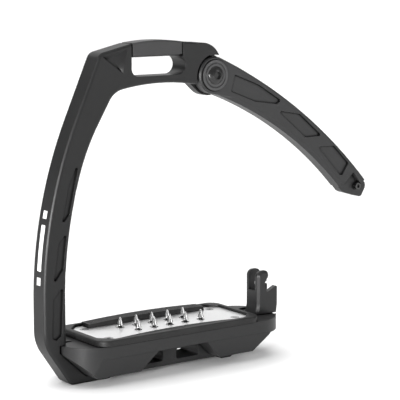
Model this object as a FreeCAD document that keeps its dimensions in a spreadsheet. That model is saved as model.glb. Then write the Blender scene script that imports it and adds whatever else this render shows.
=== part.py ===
import FreeCAD, Part
import math
import os
import Sketcher

# Safety stirrup iron with an opening outer arm, millimetres.
# X runs across the tread (closed branch at -X, opening arm at +X), Y runs front to back,
# Z is up.  The origin is on the resting plane, under the middle of the tread.

V = FreeCAD.Vector
doc = FreeCAD.newDocument("safety_stirrup")
sheet = doc.addObject("Spreadsheet::Sheet", "dimensions")

DIMENSIONS = [
    ("frame_depth", 11.6), ("edge_break", 1.0), ("inner_round", 2.0),
    ("pocket_depth", 1.2),
    ("branch_outer", 73.4), ("branch_inner", 60.5), ("eye_top", 170.4),
    ("slot_top", 162.5), ("slot_floor", 152.8), ("slot_left", 21.0), ("slot_right", 12.0),
    ("bar_depth", 10.8), ("bar_gap", 1.1), ("bar_end", 10.1), ("bar_tongue", 5.0),
    ("bar_pin_x", 14.4), ("bar_pin_z", 165.2), ("bar_pin_radius", 1.5),
    ("pivot_x", 31.0), ("pivot_z", 151.4), ("knuckle_radius", 9.7), ("cheek_radius", 10.8),
    ("cheek_front", 0.8), ("cut_clearance", 0.6), ("arm_depth", 10.8), ("arm_eye_front", 4.0),
    ("arm_eye_back", 0.2), ("cap_radius", 8.0), ("cap_thickness", 2.1),
    ("pivot_shank_radius", 3.0), ("pivot_head_radius", 4.7), ("bush_radius", 4.0),
    ("washer_thickness", 0.5), ("closing_angle", 39.1), ("latch_reach", 120.5),
    ("latch_pin_radius", 1.9), ("tongue_depth", 5.2), ("finger_slot", 5.8),
    ("post_inner", 60.0), ("post_outer", 73.0), ("post_top", 44.0), ("post_foot", 20.3),
    ("finger_slot_floor", 33.2), ("tongue_well_floor", 27.5),
    ("deck_top", 21.0), ("base_floor", 4.8), ("base_half_depth", 21.0),
    ("base_left_centre", 43.5), ("base_right_centre", 50.2), ("band_height", 6.2),
    ("block_draft", 2.6), ("wall_half_depth", 8.0), ("rail_bottom", 2.3),
    ("tray_floor", 18.0), ("tray_half_length", 46.4), ("tray_half_depth", 17.4),
    ("pad_half_length", 50.4), ("pad_half_depth", 22.0), ("rim_top", 24.3), ("rim_width", 3.0),
    ("pad_floor", 21.3), ("bed_floor", 21.8), ("plate_seat", 22.05), ("plate_thickness", 0.9),
    ("front_grip_crown", 24.4), ("front_grip_end", 23.3), ("front_grip_edge", 15.6),
    ("back_grip_crown", 26.0), ("back_grip_end", 25.0), ("back_grip_edge", 12.0),
    ("stud_pitch", 9.9), ("stud_row_gap", 9.4), ("stud_radius", 1.6), ("stud_neck_radius", 1.0),
    ("stud_point_radius", 0.35), ("plate_screw_x", 39.8), ("plate_screw_y", 11.6),
    ("plate_screw_head", 2.4),
    ("screw_radius", 1.5), ("fit", 0.05), ("gap", 0.3),
]
for row, (alias, value) in enumerate(DIMENSIONS, start=1):
    sheet.set("A%d" % row, alias)
    sheet.set("B%d" % row, str(value))
    sheet.setAlias("B%d" % row, alias)
doc.recompute()


def size(alias):
    return float(sheet.get(alias))


HALF_FRAME = size("frame_depth") / 2
HALF_ARM = size("arm_depth") / 2
PIVOT = (size("pivot_x"), size("pivot_z"))
SUB_PARTS = []


# ---------- small tools ----------

def chain(start, *steps):
    """Closed outline. Two numbers are a straight edge, four are an arc through the first pair."""
    edges = []
    here = V(start[0], start[1], 0)
    for step in steps:
        end = V(step[-2], step[-1], 0)
        if len(step) == 2:
            edges.append(Part.LineSegment(here, end))
        else:
            edges.append(Part.Arc(here, V(step[0], step[1], 0), end))
        here = end
    if (here - V(start[0], start[1], 0)).Length > 1e-6:
        edges.append(Part.LineSegment(here, V(start[0], start[1], 0)))
    return edges


def disc(x, y, radius):
    return [Part.Circle(V(x, y, 0), V(0, 0, 1), radius)]


def turn(before, here, after, radius):
    """Start, crown and end of the arc that rounds the corner at here."""
    corner = V(*here, 0)
    into = (V(*before, 0) - corner).normalize()
    out = (V(*after, 0) - corner).normalize()
    half = into.getAngle(out) / 2
    back = radius / math.tan(half)
    crown = corner + (into + out).normalize() * (radius / math.sin(half) - radius)
    first = corner + into * back
    last = corner + out * back
    return (first.x, first.y), (crown.x, crown.y), (last.x, last.y)


def rounded(corners, radius):
    """Closed polygon with every corner rounded by the same radius."""
    steps = []
    for i, corner in enumerate(corners):
        first, crown, last = turn(corners[i - 1], corner, corners[(i + 1) % len(corners)], radius)
        steps.append(first)
        steps.append((*crown, *last))
    return chain(steps[-1][-2:], *steps)


def box_loop(x_low, y_low, x_high, y_high):
    return chain((x_low, y_low), (x_high, y_low), (x_high, y_high), (x_low, y_high))


def mirrored_x(corners):
    return [(-x, y) for x, y in reversed(corners)]


def new_body(label):
    body = doc.addObject("PartDesign::Body", label)
    body.Label = label
    SUB_PARTS.append(body)
    return body


def plane_of(body, role):
    return next(item for item in body.Origin.OriginFeatures if item.Role == role)


def sketch(body, name, role, loops, shift=None):
    drawing = body.newObject("Sketcher::SketchObject", name)
    drawing.AttachmentSupport = [(plane_of(body, role), "")]
    drawing.MapMode = "FlatFace"
    if shift:
        drawing.setExpression("AttachmentOffset.Base.z", shift)
    for loop in loops:
        drawing.addGeometry(loop, False)
    return drawing


def pad(body, name, role, loops, length, shift=None, both=False, reverse=False):
    feature = body.newObject("PartDesign::Pad", name)
    feature.Profile = sketch(body, name + "_sketch", role, loops, shift)
    feature.setExpression("Length", length)
    if both:
        feature.SideType = "Symmetric"
    feature.Reversed = reverse
    doc.recompute()
    return feature


def pocket(body, name, role, loops, length=None, shift=None, reverse=False):
    """Cut loops to a depth, or right through in both directions when no depth is given."""
    before = body.Shape.Volume
    feature = body.newObject("PartDesign::Pocket", name)
    feature.Profile = sketch(body, name + "_sketch", role, loops, shift)
    if length is None:
        feature.SideType = "Two sides"
        feature.Type = "ThroughAll"
        feature.Type2 = "ThroughAll"
    else:
        feature.setExpression("Length", length)
        feature.Reversed = reverse
    doc.recompute()
    if not body.Shape.Volume < before - 1e-3:
        raise RuntimeError("nothing removed by " + name)
    return feature


def mirror(body, name, features, role="XZ_Plane"):
    copy = body.newObject("PartDesign::Mirrored", name)
    copy.Originals = features
    copy.MirrorPlane = (plane_of(body, role), [""])
    body.Tip = copy
    doc.recompute()
    return copy


def break_edges(body, name, test, amount, kind="Chamfer"):
    base = body.Tip
    names = ["Edge%d" % (i + 1) for i, edge in enumerate(base.Shape.Edges) if test(edge)]
    feature = body.newObject("PartDesign::" + kind, name)
    feature.Base = (base, names)
    feature.setExpression("Radius" if kind == "Fillet" else "Size", amount)
    doc.recompute()
    if feature.Shape.isNull() or not feature.Shape.isValid():
        raise RuntimeError("edges of %s did not break" % name)
    return feature


def middle(edge):
    return edge.valueAt((edge.FirstParameter + edge.LastParameter) / 2)


def at_depth(edge, depth):
    """True when an edge lies flat in the front or back plane |Y| = depth."""
    box = edge.BoundBox
    return box.YLength < 1e-4 and abs(abs(box.YMin) - depth) < 1e-4


def primitive(kind, name, position=(0, 0, 0), along="Z", **sizes):
    item = doc.addObject("Part::" + kind, name)
    for prop, expression in sizes.items():
        item.setExpression(prop, expression)
    turn = {"Z": FreeCAD.Rotation(), "Y": FreeCAD.Rotation(V(1, 0, 0), -90)}[along]
    item.Placement = FreeCAD.Placement(V(*position), turn)
    return item


def combine(kind, label, *items):
    """Fuse several solids, or cut the rest from the first."""
    if kind == "Cut" and len(items) > 2:
        tools = doc.addObject("Part::MultiFuse", label + "_tools")
        tools.Shapes = list(items[1:])
        items = (items[0], tools)
    if kind == "Cut":
        result = doc.addObject("Part::Cut", label)
        result.Base = items[0]
        result.Tool = items[1]
    else:
        result = doc.addObject("Part::MultiFuse", label)
        result.Shapes = list(items)
    return result


def finished(item, label):
    item.Label = label
    SUB_PARTS.append(item)
    return item


def opened(x, z):
    """Where a point of the closed arm sits when the arm stands open (the rest pose)."""
    angle = math.radians(size("closing_angle"))
    dx = x - PIVOT[0]
    dz = z - PIVOT[1]
    return (PIVOT[0] + dx * math.cos(angle) - dz * math.sin(angle),
            PIVOT[1] + dx * math.sin(angle) + dz * math.cos(angle))


def closed_latch():
    """Latch pin centre with the arm shut, in the throat of the post."""
    x = size("post_inner") + 6.8
    drop = math.sqrt(size("latch_reach") ** 2 - (x - PIVOT[0]) ** 2)
    return (x, PIVOT[1] - drop)


# ---------- arch: closed branch, leather eye, hinge cheek and foot in one forging ----------

BOW_RADIUS = 223.6
BOW_CENTRE = (BOW_RADIUS - size("branch_outer"), 42.0)
STRIPES = ((52.0, 56.0), (59.0, 82.0), (85.0, 89.0))
FOOT_SCREWS = (-39.5, -48.0)
DOWEL_Z = 166.0
DOWEL_RADIUS = 1.5


def on_bow(z, inside=0.0):
    """Point of the bowed outer face at height z, moved towards the rider's foot by inside."""
    radius = BOW_RADIUS - inside
    return (BOW_CENTRE[0] - math.sqrt(radius ** 2 - (z - BOW_CENTRE[1]) ** 2), z)


def arch_outline():
    outer = size("branch_outer")
    inner = size("branch_inner")
    deck = size("deck_top") + size("gap")
    bow_top = on_bow(133.1)
    shoulder_in, shoulder_mid, shoulder_out = turn((-21.0, 169.4), (-39.7, 165.1), bow_top, 5.0)
    bend_in, bend_mid, bend_out = turn(on_bow(42.0), (-outer, 22.0), (-58.4, 0.0), 20.0)
    heel_in, heel_mid, heel_out = turn((-outer, 22.0), (-58.4, 0.0), (-36.0, 0.0), 4.0)
    return chain(
        (-21.0, 169.4), shoulder_in, (*shoulder_mid, *shoulder_out), bow_top,
        (*on_bow(88.0), *on_bow(42.0)), bend_in, (*bend_mid, *bend_out),
        heel_in, (*heel_mid, *heel_out), (-36.0, 0.0), (-33.8, 2.2, -36.0, 4.5),
        (-50.8, 4.5), (-64.9, 17.4), (-64.9, deck), (-inner, deck), (-inner, 46.0),
        (-58.06, 75.0, -51.63, 104.0), (-47.37, 115.95, -41.79, 127.33), (-33.5, 141.2),
        (-30.31, 144.68, -26.0, 146.6),
        (-4.0, 148.9, 19.3, 147.2), (19.3, 150.0),
        (22.4, 158.8, 27.0, 161.9), (33.4, 161.9), (30.0, 166.0, 22.0, 168.6),
        (0.0, size("eye_top")))


def branch_ribbon(z_low, z_high, inside, outside):
    """Strip that follows the bowed outer face of the branch between two heights."""
    z_mid = (z_low + z_high) / 2
    return chain(on_bow(z_low, inside), (*on_bow(z_mid, inside), *on_bow(z_high, inside)),
                 on_bow(z_high, -outside), (*on_bow(z_mid, -outside), *on_bow(z_low, -outside)))


def is_inner_rim(edge):
    """Front and back edges of the silhouette that face the rider's foot."""
    point = middle(edge)
    return at_depth(edge, HALF_FRAME) and -61 < point.x < 16 and 24 < point.z < 150


def is_outer_rim(edge):
    """Front and back edges of the outer silhouette, clear of hinge and deck."""
    point = middle(edge)
    if not at_depth(edge, HALF_FRAME) or point.x > 16 or is_inner_rim(edge):
        return False
    return not (point.z < 24 and point.x > -66)


def make_arch():
    body = new_body("arch_frame")
    pad(body, "arch_blank", "XZ_Plane", [arch_outline()], "dimensions.frame_depth", both=True)
    break_edges(body, "arch_outer_edges", is_outer_rim, "dimensions.edge_break")
    break_edges(body, "arch_inner_edges", is_inner_rim, "dimensions.inner_round", "Fillet")
    top = size("slot_top")
    left = -size("slot_left")
    right = size("slot_right")
    floor = size("slot_floor")
    round_end = (top - floor) / 2
    eye = chain((left, top), (left, floor + 4), (left + 1.2, floor + 1.2, left + 4, floor),
                (right - round_end, floor), (right, floor + round_end, right - round_end, top))
    pocket(body, "leather_eye", "XZ_Plane", [eye])
    pocket(body, "bar_seat", "XZ_Plane",
           [box_loop(left, top - 0.2, size("bar_end") + size("gap"), 175)])
    pocket(body, "dowel_socket", "YZ_Plane", [disc(0, DOWEL_Z, DOWEL_RADIUS + size("fit"))],
           "4.0", "-dimensions.slot_left - 4.0", reverse=True)
    pin = (size("bar_pin_x"), size("bar_pin_z"))
    pocket(body, "bar_tongue_slot", "XZ_Plane",
           [box_loop(size("bar_end"), 162.7, 18.0, 167.7)],
           "dimensions.bar_tongue + 2 * dimensions.gap",
           "dimensions.bar_tongue / 2 + dimensions.gap")
    pocket(body, "bar_pin_bore", "XZ_Plane",
           [disc(*pin, size("bar_pin_radius") + size("fit"))], "10.2",
           "-dimensions.frame_depth / 2", reverse=True)
    knuckle = size("knuckle_radius") + 0.9
    pocket(body, "knuckle_clearance", "XZ_Plane", [disc(*PIVOT, knuckle)])
    pad(body, "hinge_cheek", "XZ_Plane", [cheek_loop()],
        "dimensions.frame_depth / 2 - dimensions.cheek_front",
        "-dimensions.frame_depth / 2")
    pocket(body, "pivot_bore", "XZ_Plane",
           [disc(*PIVOT, size("pivot_shank_radius") + size("fit"))])
    pocket(body, "nut_recess", "XZ_Plane", [disc(*PIVOT, 6.2)], "2.9",
           "-dimensions.frame_depth / 2", reverse=True)
    panels = [
        [(-51.2, 116.5), (-58.6, 101.2), (-63.2, 81.2), (-58.2, 86.6)],
        [(-59.7, 78.2), (-64.7, 73.0), (-68.2, 51.8), (-62.1, 59.6)],
        [(-62.2, 51.4), (-68.3, 45.0), (-69.0, 25.4), (-66.6, 24.2), (-63.6, 26.4)],
    ]
    front = pocket(body, "front_panels", "XZ_Plane", [rounded(p, 0.9) for p in panels],
                   "dimensions.pocket_depth", "dimensions.frame_depth / 2")
    mirror(body, "back_panels", [front])
    scoop = shoulder_scoop(body)
    mirror(body, "back_scoop", [scoop])
    pocket(body, "foot_screw_holes", "XY_Plane",
           [disc(x, 0, size("screw_radius") + 0.6) for x in FOOT_SCREWS], "6", "-0.5", reverse=True)
    pocket(body, "foot_screw_heads", "XY_Plane", [disc(x, 0, 3.2) for x in FOOT_SCREWS],
           "2.9", "-0.5", reverse=True)
    for number, (low, high) in enumerate(STRIPES):
        pocket(body, "stripe_seat_%d" % number, "XZ_Plane",
               [branch_ribbon(low, high, 0.6, 2.0)], "3.6", "1.8")
    return body


def shoulder_scoop(body):
    """Shallow three-sided scoop under the shoulder, deepest along its lower left side."""
    mouth = chain((-38.4, 163.7), (-26.2, 154.8), (-23.4, 167.2))
    floor = chain((-35.4, 162.1), (-27.7, 156.6), (-31.4, 162.6))
    feature = body.newObject("PartDesign::SubtractiveLoft", "front_scoop")
    feature.Profile = sketch(body, "scoop_mouth", "XZ_Plane", [mouth],
                             "dimensions.frame_depth / 2")
    feature.Sections = [sketch(body, "scoop_floor", "XZ_Plane", [floor],
                               "dimensions.frame_depth / 2 - 1.7")]
    feature.Ruled = True
    doc.recompute()
    return feature


def cheek_loop():
    """Rear hinge cheek: a round eye run into the end of the top bar."""
    x, z = PIVOT
    r = size("cheek_radius")
    start = math.radians(75)
    end = math.radians(228)
    a = (x + r * math.cos(start), z + r * math.sin(start))
    b = (x + r * math.cos(end), z + r * math.sin(end))
    return chain(a, (x + r, z, *b), (19.0, 147.6), (14.0, 156.0), (24.0, 165.0))


def make_inlay():
    body = new_body("branch_stripe_inlay")
    loops = [branch_ribbon(low + 0.1, high - 0.1, 0.5, -0.05) for low, high in STRIPES]
    pad(body, "stripes", "XZ_Plane", loops, "3.4", both=True)
    return body


# ---------- strap bar over the leather eye ----------

def make_strap_bar():
    low = size("slot_top")
    end = size("bar_end")
    nose = -size("slot_left") + size("bar_gap")
    body = new_body("strap_bar")
    side = chain((nose, low), (end, low), (end, 169.7), (-5.0, 170.7, nose, 169.6))
    pad(body, "bar_blank", "XZ_Plane", [side], "dimensions.bar_depth", both=True)
    break_edges(body, "bar_edges",
                lambda e: at_depth(e, size("bar_depth") / 2) and e.BoundBox.XLength > 5, "0.8")
    pad(body, "bar_tongue_blank", "XZ_Plane", [box_loop(end - 2, 163.0, 17.6, 167.4)],
        "dimensions.bar_tongue", both=True)
    pin = (size("bar_pin_x"), size("bar_pin_z"))
    pocket(body, "bar_pin_hole", "XZ_Plane", [disc(*pin, size("bar_pin_radius") + size("fit"))])
    pocket(body, "dowel_hole", "YZ_Plane", [disc(0, DOWEL_Z, DOWEL_RADIUS + size("fit"))],
           "5", "-20", reverse=True)
    return body


def make_bar_pin():
    pin = primitive("Cylinder", "bar_pin_rod", (size("bar_pin_x"), -4.2, size("bar_pin_z")), "Y",
                    Radius="dimensions.bar_pin_radius", Height="9.8")
    return finished(pin, "strap_bar_pin")


def make_bar_dowel():
    body = new_body("strap_bar_dowel")
    pad(body, "dowel_rod", "YZ_Plane", [disc(0, DOWEL_Z, DOWEL_RADIUS)], "8.8", "-24.6")
    return body


# ---------- outer hinge ----------

def pivot_part(kind, name, y, **sizes):
    return primitive(kind, name, (PIVOT[0], y, PIVOT[1]), "Y", **sizes)


def ring(label, y, outer, inner, length):
    rim = pivot_part("Cylinder", label + "_rim", y, Radius=outer, Height=length)
    hole = pivot_part("Cylinder", label + "_hole", y - 1, Radius=inner, Height=length + " + 2")
    return finished(combine("Cut", label, rim, hole), label)


def make_hinge_parts():
    eye = "dimensions.pivot_shank_radius + dimensions.fit"
    front = -size("arm_eye_front")
    back = size("arm_eye_back")
    ring("pivot_bush", front + 0.05, "dimensions.bush_radius", eye,
         "dimensions.arm_eye_front + dimensions.arm_eye_back - 0.1")
    ring("friction_washer", back + 0.05, "7.6", eye, "dimensions.washer_thickness")
    ring("rear_washer", 2.95, "5.6", eye, "0.6")
    thick = size("cap_thickness")
    cap_y = front - 0.05 - thick
    rim = pivot_part("Cylinder", "cap_rim", cap_y, Radius="dimensions.cap_radius",
                     Height="dimensions.cap_thickness")
    bore = pivot_part("Cylinder", "cap_bore", cap_y - 1, Radius=eye,
                      Height="dimensions.cap_thickness + 2")
    line = pivot_part("Torus", "cap_line", cap_y, Radius1="dimensions.cap_radius - 1.7",
                      Radius2="0.35")
    finished(combine("Cut", "hinge_cap", rim, bore, line), "hinge_cap")
    head_y = cap_y - 0.05
    shank = pivot_part("Cylinder", "pivot_shank", head_y, Radius="dimensions.pivot_shank_radius",
                       Height="11.5")
    dome = pivot_part("Sphere", "pivot_dome", head_y + 4.3, Radius="6.5")
    keep = pivot_part("Cylinder", "pivot_head_blank", head_y - 2.2,
                      Radius="dimensions.pivot_head_radius", Height="2.2")
    head = doc.addObject("Part::MultiCommon", "pivot_head")
    head.Shapes = [dome, keep]
    hexagon = primitive("Prism", "pivot_socket", (PIVOT[0], head_y - 3, PIVOT[1]), "Y",
                        Circumradius="2.3", Height="2.4")
    hexagon.Polygon = 6
    screw = combine("Fuse", "pivot_screw_solid", head, shank)
    finished(combine("Cut", "pivot_screw", screw, hexagon), "pivot_screw")
    nut = primitive("Prism", "nut_blank", (PIVOT[0], 3.6, PIVOT[1]), "Y",
                    Circumradius="5.6", Height="1.9")
    nut.Polygon = 6
    nut_hole = pivot_part("Cylinder", "nut_hole", 3, Radius=eye, Height="4")
    finished(combine("Cut", "pivot_nut", nut, nut_hole), "pivot_nut")


# ---------- opening outer arm ----------

def arm_outline():
    x, z = PIVOT
    return chain((35.0, 160.2), (84.9, 132.6, 137.3, 87.2), (138.9, 84.5, 138.2, 82.2),
                 (136.7, 79.6), (135.6, 78.5, 134.0, 78.4), (122.8, 81.6), (121.2, 82.6),
                 (78.7, 118.6, 35.0, 140.6), (29.5, 141.8),
                 (x - size("knuckle_radius"), z, 35.0, 160.2))


def finger_zone():
    """Side relief that passes over the latch fingers, drawn with the arm shut."""
    corners = [(52.0, 44.8), (69.1, 45.0), (69.1, 35.9), (82.0, 36.2), (82.0, 18.0), (52.0, 18.0)]
    return chain(*[opened(*corner) for corner in corners])


def make_arm():
    body = new_body("safety_arm")
    pad(body, "arm_blank", "XZ_Plane", [arm_outline()], "dimensions.arm_depth", both=True)
    break_edges(body, "arm_under_edges", is_arm_under, "1.9")
    break_edges(body, "arm_top_edges", is_arm_top, "0.7")
    swept = size("cheek_radius") + size("cut_clearance")
    pocket(body, "cheek_relief", "XZ_Plane", [disc(*PIVOT, swept)],
           "dimensions.arm_depth / 2 - dimensions.arm_eye_back",
           "-dimensions.arm_depth / 2", reverse=True)
    pocket(body, "cap_recess", "XZ_Plane", [disc(*PIVOT, size("cap_radius") + size("gap"))],
           "dimensions.arm_depth / 2 - dimensions.arm_eye_front", "dimensions.arm_depth / 2")
    pocket(body, "bush_bore", "XZ_Plane", [disc(*PIVOT, size("bush_radius") + size("fit"))])
    panels = [
        [(44.0, 151.3), (60.5, 145.0), (75.4, 136.0), (72.5, 134.2), (57.6, 136.3), (41.4, 142.4)],
        [(72.6, 130.8), (88.8, 127.8), (104.4, 115.0), (92.4, 114.9), (76.0, 128.0)],
        [(101.2, 109.2), (113.4, 108.8), (124.0, 98.4), (119.4, 91.8), (117.2, 92.4)],
    ]
    front = pocket(body, "arm_front_panels", "XZ_Plane", [rounded(p, 0.8) for p in panels],
                   "dimensions.pocket_depth", "dimensions.arm_depth / 2")
    side = pocket(body, "finger_relief", "XZ_Plane", [finger_zone()],
                  "dimensions.arm_depth / 2 - dimensions.tongue_depth / 2",
                  "dimensions.arm_depth / 2")
    mirror(body, "arm_back_side", [front, side])
    pocket(body, "latch_pin_bore", "XZ_Plane",
           [disc(*opened(*closed_latch()), size("latch_pin_radius") - 0.35)])
    return body


def is_arm_under(edge):
    return at_depth(edge, HALF_ARM) and abs(middle(edge).z - 118.6) < 3 and edge.Length > 60


def is_arm_top(edge):
    return at_depth(edge, HALF_ARM) and abs(middle(edge).z - 130.0) < 8 and edge.Length > 60


def make_latch_pin():
    """Shouldered cross pin: a slim core through the tongue and a stout end on each side."""
    x, z = opened(*closed_latch())
    half = size("tongue_depth") / 2
    core = primitive("Cylinder", "pin_core", (x, -half - 0.6, z), "Y",
                     Radius="dimensions.latch_pin_radius - 0.4",
                     Height="dimensions.tongue_depth + 1.2")
    stub = "dimensions.arm_depth / 2 - dimensions.tongue_depth / 2 - 0.1"
    front = primitive("Cylinder", "pin_front", (x, -HALF_ARM, z), "Y",
                      Radius="dimensions.latch_pin_radius", Height=stub)
    back = primitive("Cylinder", "pin_back", (x, half + 0.1, z), "Y",
                     Radius="dimensions.latch_pin_radius", Height=stub)
    socket = primitive("Prism", "pin_socket", (x, -HALF_ARM - 1.0, z), "Y",
                       Circumradius="1.1", Height="1.9")
    socket.Polygon = 6
    rod = combine("Fuse", "pin_solid", core, front, back)
    finished(combine("Cut", "latch_pin", rod, socket), "latch_pin")


# ---------- latch post ----------

def make_post():
    body = new_body("latch_post")
    left = size("post_inner")
    right = size("post_outer")
    foot = size("post_foot")
    top = size("post_top")
    side = chain(
        (left - 1.6, foot), (left - 0.38, 23.15, left, 26.0), (left, top - 3.2),
        (left + 0.94, top - 0.94, left + 3.2, top), (65.2, top), (68.0, 41.2, 66.6, 38.775),
        (65.2, 38.4), (64.4, 36.6, 65.0, 34.4), (65.8, 32.7, 67.3, 32.5), (right - 1.0, 34.9),
        (right - 0.2, 34.7, right, 34.0), (right, 25.0), (right - 0.6, foot))
    pad(body, "post_blank", "XZ_Plane", [side], "dimensions.frame_depth", both=True)
    break_edges(body, "post_edges", is_post_edge, "1.4")
    floor = size("finger_slot_floor")
    well = size("tongue_well_floor")
    slot = chain((left - 5, floor), (left + 2, floor), (left + 2, well), (right + 5, well),
                 (right + 5, 60), (left - 5, 60))
    pocket(body, "finger_slot", "XZ_Plane", [slot], "dimensions.finger_slot",
           "dimensions.finger_slot / 2")
    pocket(body, "post_screw_bores", "XY_Plane",
           [disc(size("post_inner") + 6.5, y, size("screw_radius") + 0.05) for y in (-3.4, 3.4)],
           "6.2", "dimensions.post_foot - 0.2", reverse=True)
    return body


def is_post_edge(edge):
    """Long upright edges of the inner face, front and back."""
    return (at_depth(edge, HALF_FRAME) and edge.BoundBox.ZLength > 12
            and middle(edge).x < size("post_inner") + 1)


# ---------- base platform ----------

def racetrack(left_centre, right_centre, radius):
    return chain((-left_centre, -radius), (right_centre, -radius),
                 (right_centre + radius, 0, right_centre, radius), (-left_centre, radius),
                 (-left_centre - radius, 0, -left_centre, -radius))


def make_base():
    body = new_body("base_platform")
    plan = racetrack(size("base_left_centre"), size("base_right_centre"), size("base_half_depth"))
    pad(body, "base_blank", "XY_Plane", [plan], "dimensions.deck_top - dimensions.base_floor",
        "dimensions.base_floor")
    band = size("deck_top") - size("band_height") - 1.0
    pocket(body, "end_bevels", "XZ_Plane",
           [chain((-70, 17.7), (-64.8, 17.7), (-50.6, 4.75), (-50.6, 2), (-70, 2)),
            chain((80, band), (57.8, band), (46.6, 4.75), (46.6, 2), (80, 2))])
    edge = size("base_half_depth")
    line = size("deck_top") - size("band_height")
    foot = edge - size("block_draft")
    front = [(-edge - 4, line), (-edge + 0.6, line), (-foot, 4.6), (-foot, 2), (-edge - 4, 2)]
    pocket(body, "block_draft_cut", "YZ_Plane", [chain(*front), chain(*mirrored_x(front))])
    recess = chain((-15.3, 14.4), (15.3, 14.4), (25.6, 4.2), (25.6, 2), (-25.6, 2), (-25.6, 4.2))
    bay = pocket(body, "front_bay", "XZ_Plane", [recess],
                 "dimensions.base_half_depth - dimensions.wall_half_depth",
                 "dimensions.base_half_depth")
    mirror(body, "back_bay", [bay])
    pad(body, "wall_rail", "XZ_Plane",
        [chain((-31.0, 5.4), (-28.0, size("rail_bottom")), (31.0, size("rail_bottom")), (31.0, 5.4))],
        "2 * dimensions.wall_half_depth", both=True)
    windows = [rounded([(s * 4.2, 4.9), (s * 18.6, 4.9), (s * 18.6, 10.3), (s * 4.2, 10.3)], 1.2)
               for s in (-1, 1)]
    pocket(body, "windows", "XZ_Plane", windows)
    half_x = size("tray_half_length")
    half_y = size("tray_half_depth")
    tray = rounded([(-half_x, -half_y), (half_x, -half_y), (half_x, half_y), (-half_x, half_y)], 6)
    pocket(body, "pad_tray", "XY_Plane", [tray], "dimensions.deck_top - dimensions.tray_floor",
           "dimensions.deck_top")
    pocket(body, "deck_relief", "XY_Plane", [chain((-62, -2.0), (-52.5, 0.8), (-62, 4.2))],
           "3", "dimensions.deck_top")
    pocket(body, "post_dish", "XY_Plane", [disc(64.0, 0, 11.2)], "1.0", "dimensions.deck_top")
    cells = [rounded([(s * 27.5, -13.5), (s * 35.5, -13.5), (s * 35.5, 13.5), (s * 27.5, 13.5)], 2)
             for s in (-1, 1)]
    pocket(body, "weight_cells", "XY_Plane", cells, "9.5", "dimensions.tray_floor")
    pocket(body, "plate_screw_holes", "XY_Plane",
           [disc(x, y, size("screw_radius") + size("fit")) for x, y in plate_screw_places()],
           "11.5", "dimensions.tray_floor")
    pocket(body, "post_screw_holes", "XY_Plane",
           [disc(size("post_inner") + 6.5, y, size("screw_radius") + 0.1) for y in (-3.4, 3.4)])
    pocket(body, "post_screw_sinks", "XY_Plane",
           [disc(size("post_inner") + 6.5, y, 3.1) for y in (-3.4, 3.4)], "2.4",
           "13.8 - 0.4", reverse=True)
    pocket(body, "foot_screw_bores", "XY_Plane",
           [disc(x, 0, size("screw_radius") + 0.05) for x in FOOT_SCREWS], "7",
           "dimensions.base_floor - 0.5", reverse=True)
    pad(body, "right_keel", "XZ_Plane",
        [chain((30.0, 5.6), (33.5, 1.2), (35.0, 0.0), (41.0, 0.0), (43.5, 1.6), (46.0, 5.6))],
        "12", both=True)
    return body


# ---------- tread ----------

SCREW_HOLE = 1.75


def make_pad():
    body = new_body("tread_pad")
    outer_x = size("pad_half_length")
    outer_y = size("pad_half_depth")
    inner_x = outer_x - size("rim_width")
    inner_y = outer_y - size("rim_width")
    plug_x = size("tray_half_length") - size("gap")
    plug_y = size("tray_half_depth") - size("gap")
    outline = rounded(rectangle(outer_x, outer_y), 7.0)
    pad(body, "pad_sheet", "XY_Plane", [outline], "dimensions.rim_top - dimensions.pad_floor",
        "dimensions.pad_floor")
    break_edges(body, "rim_round",
                lambda e: abs(e.BoundBox.ZMin - size("rim_top")) < 1e-4 and e.BoundBox.ZLength < 1e-4,
                "1.2", "Fillet")
    pad(body, "pad_plug", "XY_Plane", [rounded(rectangle(plug_x, plug_y), 5.7)],
        "dimensions.pad_floor - dimensions.tray_floor", "dimensions.tray_floor + 0.2")
    pocket(body, "plate_bed", "XY_Plane", [rounded(plate_corners(inner_x, inner_y), 2.4)],
           "dimensions.rim_top - dimensions.bed_floor", "dimensions.rim_top")
    reach = inner_y + 0.6
    for side, front in (("front", True), ("back", False)):
        edge = size(side + "_grip_edge")
        start = reach if front else -edge
        pad(body, side + "_grip", "XZ_Plane", [grip_side(side)], str(reach - edge), str(start),
            reverse=True)
        sign = -1 if front else 1
        lines = [sign * (edge + 1.0 + 1.5 * k) for k in range(int((reach - edge) / 1.5))]
        grooves = [box_loop(-35.5, y - 0.3, 35.5, y + 0.3) for y in lines]
        pocket(body, side + "_grip_ribs", "XY_Plane", grooves,
               "27 - dimensions.%s_grip_end + 0.9" % side, "27")
    pocket(body, "stud_bores", "XY_Plane",
           [disc(x, y, 1.5 + size("fit")) for x, y in stud_places()], "2.6", "22")
    pocket(body, "plate_screw_clearances", "XY_Plane",
           [disc(x, y, size("screw_radius") + size("gap")) for x, y in plate_screw_places()])
    return body


def rectangle(half_x, half_y):
    return [(-half_x, -half_y), (half_x, -half_y), (half_x, half_y), (-half_x, half_y)]


def plate_corners(half_x, half_y):
    cut = 6.5
    return [(-half_x, -half_y + cut), (-half_x + cut, -half_y), (half_x - cut, -half_y),
            (half_x, -half_y + cut), (half_x, half_y - cut), (half_x - cut, half_y),
            (-half_x + cut, half_y), (-half_x, half_y - cut)]


def grip_side(side):
    """Side view of a raised grip strip: flat below, gently crowned on top."""
    end = size(side + "_grip_end")
    low = size("bed_floor") - 0.3
    return chain((-36.5, low), (36.5, low), (36.5, end),
                 (0.0, size(side + "_grip_crown"), -36.5, end))


def stud_places():
    """Two rows of five studs, the rows staggered by half a pitch."""
    pitch = size("stud_pitch")
    row = size("stud_row_gap") / 2
    return [((i - 2) * pitch + side * pitch / 4, -side * row) for side in (-1, 1) for i in range(5)]


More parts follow.
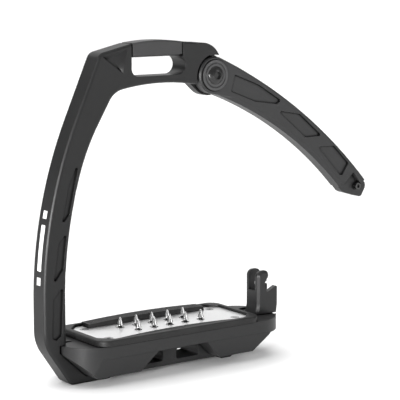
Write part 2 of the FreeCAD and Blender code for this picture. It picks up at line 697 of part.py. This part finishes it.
def make_plate():
    body = new_body("tread_plate")
    half_x = size("pad_half_length") - size("rim_width") - 0.4
    half_y = size("pad_half_depth") - size("rim_width") - 0.4
    pad(body, "plate_blank", "XY_Plane", [rounded(plate_corners(half_x, half_y), 2.2)],
        "dimensions.plate_thickness", "dimensions.plate_seat")
    pocket(body, "grip_notches", "XY_Plane",
           [box_loop(-37.0, -22, 37.0, -size("front_grip_edge") + 0.3),
            box_loop(-37.0, size("back_grip_edge") - 0.3, 37.0, 22)])
    pocket(body, "stud_holes", "XY_Plane", [disc(x, y, 2.2) for x, y in stud_places()])
    pocket(body, "screw_holes", "XY_Plane",
           [disc(x, y, SCREW_HOLE) for x, y in plate_screw_places()])
    break_edges(body, "countersinks", is_screw_rim, "0.75")
    return body


def is_screw_rim(edge):
    """Upper rim of a plate screw hole."""
    top = size("plate_seat") + size("plate_thickness")
    return (edge.Closed and abs(edge.BoundBox.ZMin - top) < 1e-4
            and abs(edge.Curve.Radius - SCREW_HOLE) < 1e-4)


def make_studs():
    solids = []
    neck_radius = "dimensions.stud_neck_radius"
    for number, (x, y) in enumerate(stud_places()):
        shank = primitive("Cylinder", "stud_shank_%d" % number, (x, y, 19.5),
                          Radius="1.5", Height="2.2")
        neck = primitive("Cylinder", "stud_neck_%d" % number, (x, y, 21.6),
                         Radius=neck_radius, Height="1.5")
        flare = primitive("Cone", "stud_flare_%d" % number, (x, y, 23.0),
                          Radius1=neck_radius, Radius2="dimensions.stud_radius", Height="1.3")
        spike = primitive("Cone", "stud_spike_%d" % number, (x, y, 24.3),
                          Radius1="dimensions.stud_radius",
                          Radius2="dimensions.stud_point_radius", Height="4.0")
        solids.append(combine("Fuse", "stud_%d" % number, shank, neck, flare, spike))
    group = doc.addObject("Part::Compound", "tread_studs")
    group.Links = solids
    return finished(group, "tread_studs")


def corner_group(label, build, places):
    group = doc.addObject("Part::Compound", label)
    group.Links = [build(number, x, y) for number, (x, y) in enumerate(places)]
    return finished(group, label)


def plate_screw_places():
    x = size("plate_screw_x")
    y = size("plate_screw_y")
    return [(sx * x, sy * y) for sx in (-1, 1) for sy in (-1, 1)]


def plate_screw(number, x, y):
    """Countersunk screw pointing down, its head level with the plate."""
    top = size("plate_seat") + size("plate_thickness")
    cone = primitive("Cone", "plate_screw_cone_%d" % number, (x, y, size("plate_seat")),
                     Radius1="dimensions.plate_screw_head - dimensions.plate_thickness",
                     Radius2="dimensions.plate_screw_head", Height="dimensions.plate_thickness")
    crown = primitive("Cylinder", "plate_screw_crown_%d" % number, (x, y, top - 0.02),
                      Radius="dimensions.plate_screw_head - 0.02", Height="0.1")
    rod = primitive("Cylinder", "plate_screw_rod_%d" % number, (x, y, 8.0),
                    Radius="dimensions.screw_radius", Height="dimensions.plate_seat - 8.0 + 0.2")
    socket = primitive("Prism", "plate_screw_socket_%d" % number, (x, y, top - 0.8),
                       Circumradius="1.2", Height="2.0")
    socket.Polygon = 6
    solid = combine("Fuse", "plate_screw_solid_%d" % number, rod, cone, crown)
    return combine("Cut", "plate_screw_%d" % number, solid, socket)


def cap_screw(number, name, x, y, z, head, length):
    """Round-headed screw pointing up, head at the bottom, with a hexagon socket."""
    cap = primitive("Cylinder", "%s_head_%d" % (name, number), (x, y, z),
                    Radius="2.8", Height=str(head))
    rod = primitive("Cylinder", "%s_rod_%d" % (name, number), (x, y, z + head - 0.1),
                    Radius="dimensions.screw_radius", Height=str(length))
    socket = primitive("Prism", "%s_socket_%d" % (name, number), (x, y, z - 0.5),
                       Circumradius="1.4", Height="1.7")
    socket.Polygon = 6
    solid = combine("Fuse", "%s_solid_%d" % (name, number), cap, rod)
    return combine("Cut", "%s_%d" % (name, number), solid, socket)


def make_screws():
    corner_group("tread_screws", plate_screw, plate_screw_places())
    corner_group("foot_screws",
                 lambda n, x, y: cap_screw(n, "foot_screw", x, y, 0.5, 1.8, 8.6),
                 [(x, 0) for x in FOOT_SCREWS])
    corner_group("post_screws",
                 lambda n, x, y: cap_screw(n, "post_screw", x, y, 13.85, 1.8, 10.0),
                 [(size("post_inner") + 6.5, y) for y in (-3.4, 3.4)])


make_arch()
make_inlay()
make_strap_bar()
make_bar_pin()
make_bar_dowel()
make_hinge_parts()
make_arm()
make_latch_pin()
make_post()
make_base()
make_pad()
make_plate()
make_studs()
make_screws()
doc.recompute()

for item in doc.Objects:
    if "Invalid" in item.State or "Error" in item.State:
        raise RuntimeError("%s did not compute" % item.Label)
os.makedirs("parts", exist_ok=True)
for part in SUB_PARTS:
    if part.Shape.isNull() or not part.Shape.isValid():
        raise RuntimeError("%s has no valid shape" % part.Label)
    part.Shape.exportStep("parts/%s.step" % part.Label)
    box = part.Shape.BoundBox
    print("%-22s %8.1f mm3  %d solid(s)  x %.1f..%.1f  y %.1f..%.1f  z %.1f..%.1f" % (
        part.Label, part.Shape.Volume, len(part.Shape.Solids),
        box.XMin, box.XMax, box.YMin, box.YMax, box.ZMin, box.ZMax))
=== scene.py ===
import math

import bpy
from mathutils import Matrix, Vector

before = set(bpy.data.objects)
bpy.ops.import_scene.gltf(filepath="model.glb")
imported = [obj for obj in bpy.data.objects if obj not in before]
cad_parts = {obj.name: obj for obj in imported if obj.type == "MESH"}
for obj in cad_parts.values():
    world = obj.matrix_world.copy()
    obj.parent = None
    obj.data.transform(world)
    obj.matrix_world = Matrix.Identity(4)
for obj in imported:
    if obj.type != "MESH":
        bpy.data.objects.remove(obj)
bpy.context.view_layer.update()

# The camera: its place in metres, its lens and sensor in millimetres, its turn in degrees.
CAMERA_PLACE = (-0.45883, -0.66635, 0.21327)
CAMERA_LENS = 142.65
CAMERA_SENSOR = 36.0
CAMERA_YAW = 36.0
CAMERA_PITCH = 8.8

# The studio: the floor's half width and its drop below the standing plane, in metres, and the
# brightness of the room, which fades from the horizon up between two slopes.
FLOOR_REACH = 20.0
FLOOR_DROP = 0.0001
ROOM_HORIZON = 1.0
ROOM_ZENITH = 0.26
ROOM_FADE = (0.02, 0.07)

# The part of a noise's range over which a colour or a roughness drifts.
DRIFT = (0.3, 0.7)
# How much bluer than neutral the black coats are.
COOL = 0.02


# ---------- node materials ----------

class Shader:
    """A node material in the making: a Principled surface and short calls that add nodes."""

    def __init__(self, name):
        self.material = bpy.data.materials.new(name)
        self.material.use_nodes = True
        self.tree = self.material.node_tree
        self.surface = self.tree.nodes["Principled BSDF"]
        self.place = self.add("ShaderNodeTexCoord").outputs["Object"]

    def add(self, kind, inputs=(), **settings):
        node = self.tree.nodes.new(kind)
        for key, value in settings.items():
            setattr(node, key, value)
        for key, value in dict(inputs).items():
            self.feed(node.inputs[key], value)
        return node

    def feed(self, socket, value):
        if isinstance(value, bpy.types.NodeSocket):
            self.tree.links.new(value, socket)
        else:
            socket.default_value = value

    def set(self, **values):
        """Sets or links the surface's own sockets. An underscore stands for a space."""
        for key, value in values.items():
            self.feed(self.surface.inputs[key.replace("_", " ")], value)

    def noise(self, scale, detail=3.0, roughness=0.55, stretch=None):
        place = self.place
        if stretch:
            place = self.add("ShaderNodeMapping", {"Vector": place, "Scale": stretch}).outputs[0]
        node = self.add("ShaderNodeTexNoise", {
            "Vector": place, "Scale": scale, "Detail": detail, "Roughness": roughness})
        return node.outputs["Fac"]

    def band(self, value, low, high, out_low=0.0, out_high=1.0):
        node = self.add("ShaderNodeMapRange", {
            "Value": value, "From Min": low, "From Max": high,
            "To Min": out_low, "To Max": out_high})
        return node.outputs["Result"]

    def mix(self, factor, first, second):
        node = self.add(
            "ShaderNodeMix", {"Factor": factor, "A": first, "B": second}, data_type="RGBA")
        return node.outputs["Result"]

    def drift(self, noise, dark, light):
        """Colour that drifts between two tones."""
        return self.mix(self.band(noise, *DRIFT), dark, light)

    def times(self, first, second):
        return self.add("ShaderNodeMath", {0: first, 1: second}, operation="MULTIPLY").outputs[0]

    def edges(self, radius):
        """Mask that is 1 on sharp edges and 0 on flat faces, and the softened normal there."""
        soft = self.add("ShaderNodeBevel", {"Radius": radius}, samples=6).outputs["Normal"]
        normal = self.add("ShaderNodeNewGeometry").outputs["Normal"]
        dot = self.add("ShaderNodeVectorMath", {0: soft, 1: normal}, operation="DOT_PRODUCT")
        return self.band(dot.outputs["Value"], low=0.995, high=0.8), soft

    def corner_shade_mask(self, reach):
        """Mask that is 1 in tight inner corners and 0 on open faces, from ambient occlusion; it
        places painted shade.
        """
        node = self.add("ShaderNodeAmbientOcclusion", {"Distance": reach}, samples=8)
        return self.band(node.outputs["AO"], low=0.86, high=0.45)

    def bump(self, height, strength, distance, normal=None):
        node = self.add("ShaderNodeBump", {
            "Height": height, "Strength": strength, "Distance": distance})
        if normal is not None:
            self.feed(node.inputs["Normal"], normal)
        return node.outputs["Normal"]


def grey(value, tint=0.0):
    return (value, value, value * (1 + tint), 1.0)


def coated(name, tone, roughness=0.40, grain=1.0, shine=0.30):
    """Satin coat over metal: fine grain, cloudy sheen, edges painted lighter (partly rubbed
    wear, partly a painted highlight), painted shade in inner corners.
    """
    make = Shader(name)
    clouds = make.noise(scale=38.0, detail=2.0)
    grains = make.noise(scale=2600.0, detail=2.0, roughness=0.7)
    edge, soft = make.edges(radius=0.00045)
    # Edges painted lighter in broken patches: partly rubbed wear, partly a painted highlight
    # along the chamfers.
    wear_and_highlight = make.times(edge, make.band(make.noise(scale=160.0, detail=4.0), low=0.35, high=0.7))
    # Ambient-occlusion mask that places painted shade in the inner corners.
    painted_corner_shade = make.corner_shade_mask(reach=0.0016)
    base = make.drift(clouds, grey(tone * 0.88, COOL), grey(tone * 1.14, COOL))
    base = make.mix(make.band(grains, low=0.25, high=0.75), base, grey(tone * 1.45, COOL))
    # Edges lightened towards 2.4 times the tone: partly wear, partly a painted highlight.
    base = make.mix(make.times(wear_and_highlight, 0.4), base, grey(tone * 2.4))
    # Painted shade: inner corners darkened to a fifth of the tone; the specular level drops
    # there too.
    make.set(Base_Color=make.mix(painted_corner_shade, base, grey(tone * 0.2)))
    make.set(Roughness=make.band(clouds, *DRIFT, roughness - 0.03, roughness + 0.05))
    make.set(Specular_IOR_Level=make.band(painted_corner_shade, 0.0, 1.0, shine, shine * 0.15))
    make.set(Normal=make.bump(grains, strength=0.12 * grain, distance=0.00008, normal=soft))
    return make.material


def rubber():
    """Moulded rubber, a little glossy, with its edges worn paler."""
    make = Shader("rubber_black")
    fine = make.noise(scale=1900.0, detail=3.0, roughness=0.6)
    clouds = make.noise(scale=60.0, detail=3.0)
    edge, soft = make.edges(radius=0.0004)
    base = make.drift(clouds, grey(0.007), grey(0.012))
    make.set(Base_Color=make.mix(make.times(edge, 0.35), base, grey(0.05)))
    make.set(Roughness=make.band(fine, *DRIFT, 0.40, 0.52))
    make.set(Specular_IOR_Level=0.3)
    make.set(Normal=make.bump(fine, strength=0.16, distance=0.00008, normal=soft))
    return make.material


def brushed(name, tone, roughness, stretch, metallic=1.0):
    """Bare metal with a fine grain, drawn out along the axes whose stretch is low."""
    make = Shader(name)
    lines = make.noise(scale=900.0, detail=3.0, roughness=0.6, stretch=stretch)
    spots = make.noise(scale=90.0, detail=3.0)
    edge, soft = make.edges(radius=0.0002)
    base = make.drift(lines, grey(tone * 0.93), grey(tone * 1.03))
    base = make.mix(make.times(edge, 0.4), base, grey(min(1.0, tone * 1.15)))
    make.set(Base_Color=base)
    make.set(Roughness=make.band(spots, *DRIFT, roughness - 0.04, roughness + 0.05))
    make.set(Metallic=metallic)
    make.set(Normal=make.bump(lines, strength=0.05, distance=0.00004, normal=soft))
    return make.material


def inlay_white():
    """Plain white satin inlay."""
    make = Shader("inlay_white")
    fine = make.noise(scale=1500.0, detail=2.0)
    clouds = make.noise(scale=120.0, detail=3.0)
    make.set(Base_Color=make.drift(clouds, grey(0.72), grey(0.84)))
    make.set(Roughness=make.band(fine, *DRIFT, 0.42, 0.55))
    make.set(Normal=make.bump(fine, strength=0.08, distance=0.00004))
    return make.material


EVEN = (1.0, 1.0, 1.0)
MATERIALS = {
    "arch_frame": coated("frame_black", tone=0.007, shine=0.26),
    "strap_bar": coated("bar_black", tone=0.022),
    "safety_arm": coated("arm_black", tone=0.016),
    "base_platform": coated("base_black", tone=0.012),
    "latch_post": coated("post_black", tone=0.012),
    "hinge_cap": coated("cap_grey", tone=0.030, roughness=0.34, grain=0.7, shine=0.42),
    "branch_stripe_inlay": inlay_white(),
    "tread_pad": rubber(),
    "tread_plate": brushed("plate_steel", tone=0.80, roughness=0.38, stretch=(1.0, 14.0, 14.0)),
    "tread_studs": brushed("stud_steel", tone=0.72, roughness=0.14, stretch=(1.0, 1.0, 8.0)),
    "tread_screws": brushed("screw_steel", tone=0.42, roughness=0.30, stretch=EVEN),
    "pivot_screw": brushed("screw_black", 0.030, roughness=0.22, stretch=EVEN, metallic=0.6),
    "latch_pin": brushed("pin_steel", tone=0.08, roughness=0.30, stretch=(1.0, 6.0, 1.0)),
    "pivot_bush": brushed("bush_bronze", tone=0.45, roughness=0.35, stretch=EVEN),
    "friction_washer": coated("washer_nylon", tone=0.55, roughness=0.5),
}
# The fasteners that have no material of their own above share one plated steel.
FASTENER = brushed("fastener_steel", tone=0.38, roughness=0.32, stretch=(1.0, 1.0, 6.0))
for name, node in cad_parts.items():
    node.data.materials.clear()
    node.data.materials.append(MATERIALS.get(name, FASTENER))


# ---------- floor, light, camera ----------

def make_floor():
    mesh = bpy.data.meshes.new("studio_floor")
    signs = [(-1, -1), (1, -1), (1, 1), (-1, 1)]
    corners = [(x * FLOOR_REACH, y * FLOOR_REACH, -FLOOR_DROP) for x, y in signs]
    mesh.from_pydata(corners, [], [(0, 1, 2, 3)])
    floor = bpy.data.objects.new("studio_floor", mesh)
    bpy.context.scene.collection.objects.link(floor)
    make = Shader("floor_paper")
    make.set(Base_Color=make.mix(make.noise(scale=3.0), grey(0.93), grey(0.95)), Roughness=0.85)
    mesh.materials.append(make.material)


def aim(thing, place, direction):
    """Puts a lamp or the camera in its place, looking along a direction."""
    thing.location = place
    thing.rotation_euler = direction.to_track_quat("-Z", "Y").to_euler()
    bpy.context.scene.collection.objects.link(thing)


def soft_box(name, place, target, width, height, power):
    light = bpy.data.lights.new(name, "AREA")
    light.shape = "RECTANGLE"
    light.size = width
    light.size_y = height
    light.energy = power
    aim(bpy.data.objects.new(name, light), place, Vector(target) - Vector(place))


def overhead(name, place, spread, strength):
    """Broad even light from high up, so the floor stays white out to the horizon."""
    light = bpy.data.lights.new(name, "SUN")
    light.angle = math.radians(spread)
    light.energy = strength
    aim(bpy.data.objects.new(name, light), place, -Vector(place))


def make_room():
    """Grey studio room: light near the horizon, darker overhead."""
    world = bpy.data.worlds.new("studio")
    world.use_nodes = True
    tree = world.node_tree
    place = tree.nodes.new("ShaderNodeTexCoord")
    split = tree.nodes.new("ShaderNodeSeparateXYZ")
    fade = tree.nodes.new("ShaderNodeMapRange")
    fade.inputs["From Min"].default_value = ROOM_FADE[0]
    fade.inputs["From Max"].default_value = ROOM_FADE[1]
    fade.inputs["To Min"].default_value = ROOM_HORIZON
    fade.inputs["To Max"].default_value = ROOM_ZENITH
    tree.links.new(place.outputs["Generated"], split.inputs[0])
    tree.links.new(split.outputs["Z"], fade.inputs["Value"])
    tree.links.new(fade.outputs["Result"], tree.nodes["Background"].inputs["Strength"])
    tree.nodes["Background"].inputs["Color"].default_value = grey(1.0)
    bpy.context.scene.world = world


def make_camera():
    data = bpy.data.cameras.new("photo_view")
    data.sensor_width = CAMERA_SENSOR
    data.lens = CAMERA_LENS
    data.clip_start = 0.01
    data.clip_end = 100.0
    camera = bpy.data.objects.new("photo_view", data)
    yaw = math.radians(CAMERA_YAW)
    pitch = math.radians(CAMERA_PITCH)
    level = math.cos(pitch)
    aim(camera, CAMERA_PLACE,
        Vector((math.sin(yaw) * level, math.cos(yaw) * level, -math.sin(pitch))))
    bpy.context.scene.camera = camera


make_floor()
make_room()
overhead("overhead", place=(-0.12, 0.32, 1.0), spread=80.0, strength=3.0)
soft_box("edge_strip", place=(-0.60, -0.42, 0.12), target=(-0.06, 0.0, 0.10),
         width=0.06, height=0.20, power=7.0)
soft_box("front_box", place=(0.62, -0.78, 0.40), target=(0.02, 0.0, 0.12),
         width=0.60, height=0.50, power=2.2)
soft_box("arm_box", place=(0.46, -0.50, 0.52), target=(0.08, 0.0, 0.15),
         width=0.36, height=0.30, power=0.45)
soft_box("back_box", place=(1.20, 1.60, 0.72), target=(0.0, 0.0, 0.02),
         width=1.60, height=0.90, power=3.6)
make_camera()
bpy.context.scene.view_settings.view_transform = "Standard"
bpy.context.scene.view_settings.look = "None"
